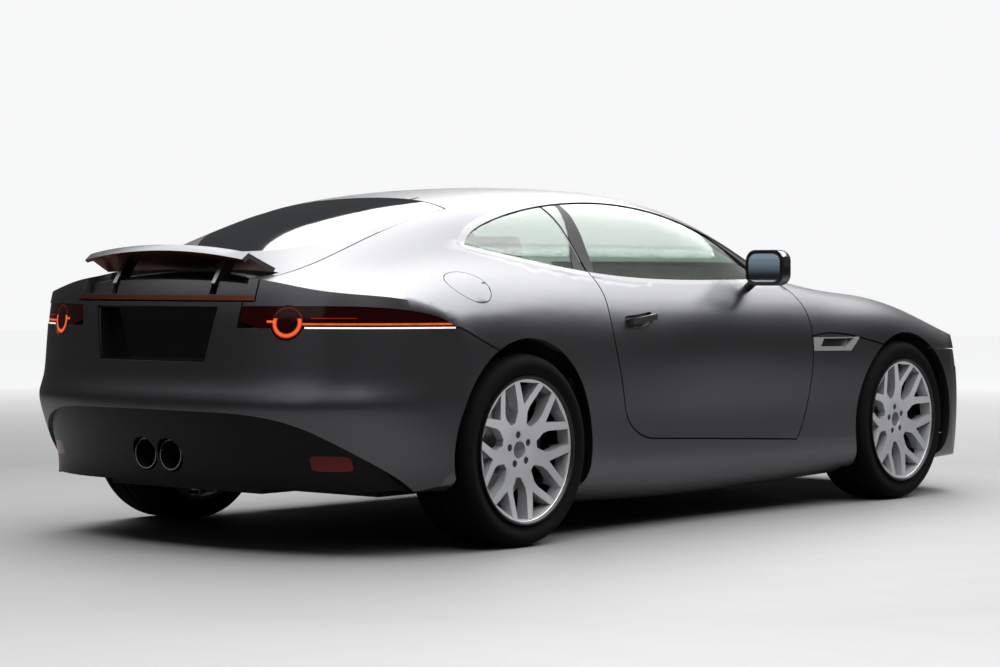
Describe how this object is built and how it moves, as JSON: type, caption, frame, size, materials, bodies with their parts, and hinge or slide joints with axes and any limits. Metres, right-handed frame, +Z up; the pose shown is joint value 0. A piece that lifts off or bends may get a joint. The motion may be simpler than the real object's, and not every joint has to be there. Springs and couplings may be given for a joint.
{
  "type": "coupe car",
  "caption": "Low two-seat fastback coupe with forked-spoke wheels, long bonnet, slim tail lamps, rear blade, opening doors, bonnet and tailgate.",
  "frame": {"origin": "on the ground below the middle of the car", "axes": "+X towards the nose, +Y to the left side, +Z up"},
  "size_m": [4.4707, 2.076, 1.3094],
  "materials": {
    "paint": "satin",
    "dark_glass": "gloss",
    "side_glass": "gloss",
    "front_glass": "gloss",
    "bright_trim": "satin",
    "satin_silver": "satin",
    "lamp_clear": "gloss",
    "lamp_red": "gloss",
    "dark_steel": "matte",
    "tyre": "matte",
    "wheel_silver": "satin",
    "disc_iron": "satin",
    "knuckle_iron": "matte",
    "engine_alloy": "matte",
    "exhaust_steel": "satin",
    "cabin_black": "matte",
    "seat_leather": "satin",
    "wheel_leather": "satin",
    "chrome": "gloss",
    "gloss_black": "gloss",
    "black_plastic": "matte"
  },
  "bodies": {
    "body": {"arch_liners": "black_plastic", "body_shell": "paint", "dashboard": "cabin_black", "engine_block": "engine_alloy", "exhaust": "exhaust_steel", "floor_pan": "dark_steel", "front_bumper": "paint", "front_grille": "gloss_black", "front_suspension": "dark_steel", "front_wings": "paint", "headlamps": "lamp_clear", "plate_recess": "gloss_black", "quarter_glass": "side_glass", "radiator": "engine_alloy", "rear_bumper": "paint", "rear_diffuser": "gloss_black", "rear_suspension": "dark_steel", "seats": "seat_leather", "side_vents": "satin_silver", "tail_lamps": "lamp_red", "window_frames": "bright_trim", "windscreen": "front_glass"},
    "wheel_front_left": {"tyre_front_left": "tyre", "rim_front_left": "wheel_silver", "brake_disc_front_left": "disc_iron"},
    "wheel_front_right": {"tyre_front_right": "tyre", "rim_front_right": "wheel_silver", "brake_disc_front_right": "disc_iron"},
    "wheel_rear_left": {"tyre_rear_left": "tyre", "rim_rear_left": "wheel_silver", "brake_disc_rear_left": "disc_iron"},
    "wheel_rear_right": {"tyre_rear_right": "tyre", "rim_rear_right": "wheel_silver", "brake_disc_rear_right": "disc_iron"},
    "knuckle_left": {"knuckle_left": "knuckle_iron"},
    "door_left": {"door_left": "paint", "door_glass_left": "side_glass", "belt_trim_left": "bright_trim", "mirror_left": "gloss_black", "handle_left": "chrome"},
    "knuckle_right": {"knuckle_right": "knuckle_iron"},
    "door_right": {"door_right": "paint", "door_glass_right": "side_glass", "belt_trim_right": "bright_trim", "mirror_right": "gloss_black", "handle_right": "chrome"},
    "bonnet": {"bonnet": "paint"},
    "tailgate": {"tailgate": "paint", "rear_window": "dark_glass"},
    "spoiler": {"spoiler": "paint"},
    "fuel_flap": {"fuel_flap": "paint"},
    "steering_wheel": {"steering_wheel": "wheel_leather"}
  },
  "joints": [
    {"name": "steer_left", "type": "hinge", "parent": "body", "child": "knuckle_left", "pos_m": [1.345, 0.7, 0.343], "axis": [0, 0, 1], "range_deg": [-32, 32]},
    {"name": "wheel_front_left_spin", "type": "hinge", "parent": "knuckle_left", "child": "wheel_front_left", "pos_m": [1.345, 0.8, 0.343], "axis": [0, 1, 0], "continuous": true},
    {"name": "wheel_rear_left_spin", "type": "hinge", "parent": "body", "child": "wheel_rear_left", "pos_m": [-1.277, 0.818, 0.343], "axis": [0, 1, 0], "continuous": true},
    {"name": "door_left_swing", "type": "hinge", "parent": "body", "child": "door_left", "pos_m": [0.46, 0.9, 0.65], "axis": [0, 0, 1], "range_deg": [-60, 0]},
    {"name": "steer_right", "type": "hinge", "parent": "body", "child": "knuckle_right", "pos_m": [1.345, -0.7, 0.343], "axis": [0, 0, 1], "range_deg": [-32, 32]},
    {"name": "wheel_front_right_spin", "type": "hinge", "parent": "knuckle_right", "child": "wheel_front_right", "pos_m": [1.345, -0.8, 0.343], "axis": [0, 1, 0], "continuous": true},
    {"name": "wheel_rear_right_spin", "type": "hinge", "parent": "body", "child": "wheel_rear_right", "pos_m": [-1.277, -0.818, 0.343], "axis": [0, 1, 0], "continuous": true},
    {"name": "door_right_swing", "type": "hinge", "parent": "body", "child": "door_right", "pos_m": [0.46, -0.9, 0.65], "axis": [0, 0, 1], "range_deg": [0, 60]},
    {"name": "steering_wheel_turn", "type": "hinge", "parent": "body", "child": "steering_wheel", "pos_m": [0.13, 0.37, 0.745], "axis": [-0.9135, 0, 0.4067], "range_deg": [-450, 450]},
    {"name": "bonnet_lift", "type": "hinge", "parent": "body", "child": "bonnet", "pos_m": [2.18, 0, 0.66], "axis": [0, 1, 0], "range_deg": [0, 30]},
    {"name": "tailgate_lift", "type": "hinge", "parent": "body", "child": "tailgate", "pos_m": [-1.078, 0, 1.23], "axis": [0, 1, 0], "range_deg": [0, 60]},
    {"name": "spoiler_tilt", "type": "hinge", "parent": "tailgate", "child": "spoiler", "pos_m": [-1.968, 0, 0.987], "axis": [0, 1, 0], "range_deg": [-32, 0]},
    {"name": "fuel_flap_swing", "type": "hinge", "parent": "body", "child": "fuel_flap", "pos_m": [-1.41898, -0.86491, 0.92568], "axis": [0, 0.7707, 0.6371], "range_deg": [0, 48]}
  ],
  "couplings": [
    {"joint": "steer_right", "follows": "steer_left", "ratio": 1},
    {"joint": "steering_wheel_turn", "follows": "steer_left", "ratio": 14.062}
  ]
}
